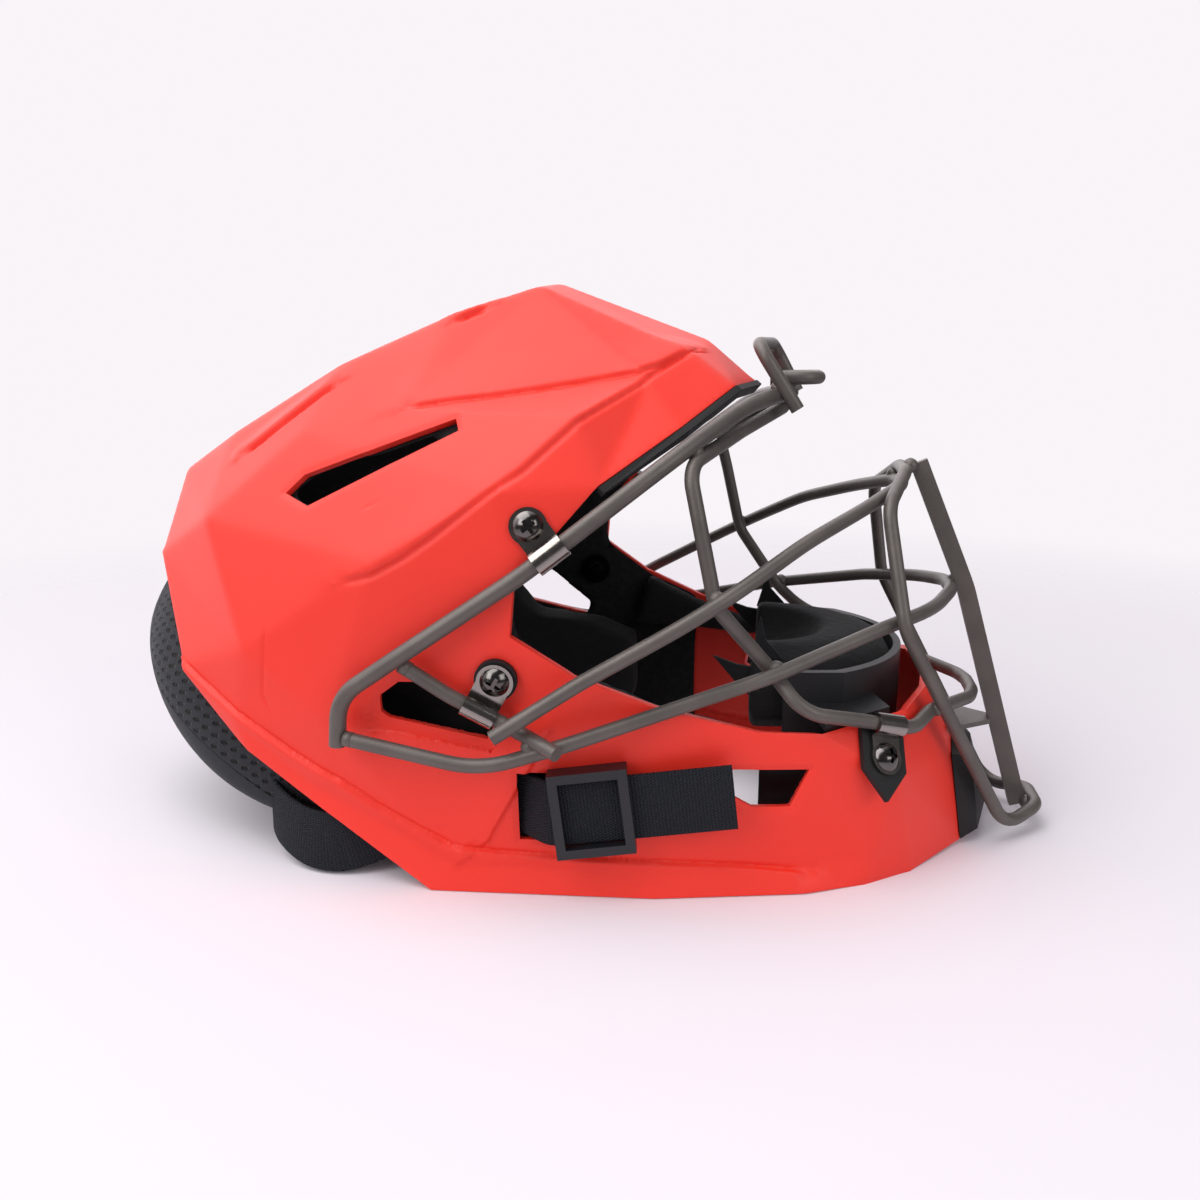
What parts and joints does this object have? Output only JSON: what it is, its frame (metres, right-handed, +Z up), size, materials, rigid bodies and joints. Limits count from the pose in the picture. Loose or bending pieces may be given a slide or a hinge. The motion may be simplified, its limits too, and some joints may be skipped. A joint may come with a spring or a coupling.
{
  "type": "baseball catcher helmet",
  "caption": "Catcher's helmet: faceted hard shell with a screwed-on wire face cage, foam liner, chin cup, neck pad and elastic side straps with sliders.",
  "frame": {"origin": "on the table under the jaw, at the middle of the box of the whole helmet", "axes": "+X forward out of the face, +Y to the wearer's left, +Z up"},
  "size_m": [0.3878, 0.2348, 0.2196],
  "materials": {
    "shell_red": "matt moulded plastic, red all through",
    "cage_steel": "powder coated, grey brown, satin",
    "clip_steel": "dark nickel plate, bright",
    "screw_steel": "black nickel plate, bright",
    "black_rubber": "matt",
    "liner_foam": "brushed cloth over foam",
    "spacer_mesh": "open spacer mesh",
    "cup_plastic": "soft moulded, matt",
    "strap_webbing": "woven elastic",
    "slider_plastic": "moulded, satin"
  },
  "bodies": {
    "helmet": {"helmet_shell": "shell_red", "brow_trim": "black_rubber", "cage_brow_wire": "cage_steel", "cage_eye_loop": "cage_steel", "cage_eye_bar": "cage_steel", "cage_mouth_bar": "cage_steel", "cage_throat_wire": "cage_steel", "cage_cheek_strut_left": "cage_steel", "cage_cheek_strut_right": "cage_steel", "cage_upright_loop": "cage_steel", "cage_forward_loop": "cage_steel", "cage_centre_bar": "cage_steel", "chin_bracket": "cage_steel", "upper_clips": "clip_steel", "middle_clips": "clip_steel", "lower_clips": "clip_steel", "upper_screws": "screw_steel", "middle_screws": "screw_steel", "lower_screws": "screw_steel", "upper_nuts": "screw_steel", "middle_nuts": "screw_steel", "lower_nuts": "screw_steel", "middle_rubber_pads": "black_rubber", "lower_rubber_pads": "black_rubber", "brow_pad": "liner_foam", "crown_pad": "liner_foam", "back_pad": "liner_foam", "temple_pad_left": "liner_foam", "temple_pad_right": "liner_foam", "side_pad_left": "liner_foam", "side_pad_right": "liner_foam", "jaw_pad_left": "liner_foam", "jaw_pad_right": "liner_foam", "neck_pad": "spacer_mesh", "chin_cup": "cup_plastic", "chin_pad": "liner_foam", "chin_bumper": "black_rubber", "strap_left": "strap_webbing", "strap_right": "strap_webbing"},
    "left_slider": {"slider_left": "slider_plastic"},
    "right_slider": {"slider_right": "slider_plastic"}
  },
  "joints": [
    {"name": "left_slider_slide", "type": "slide", "parent": "helmet", "child": "left_slider", "axis": [0.983, -0.1352, 0.124], "range_m": [-0.001, 0.028]},
    {"name": "right_slider_slide", "type": "slide", "parent": "helmet", "child": "right_slider", "axis": [0.983, 0.1352, 0.124], "range_m": [-0.001, 0.028]}
  ]
}
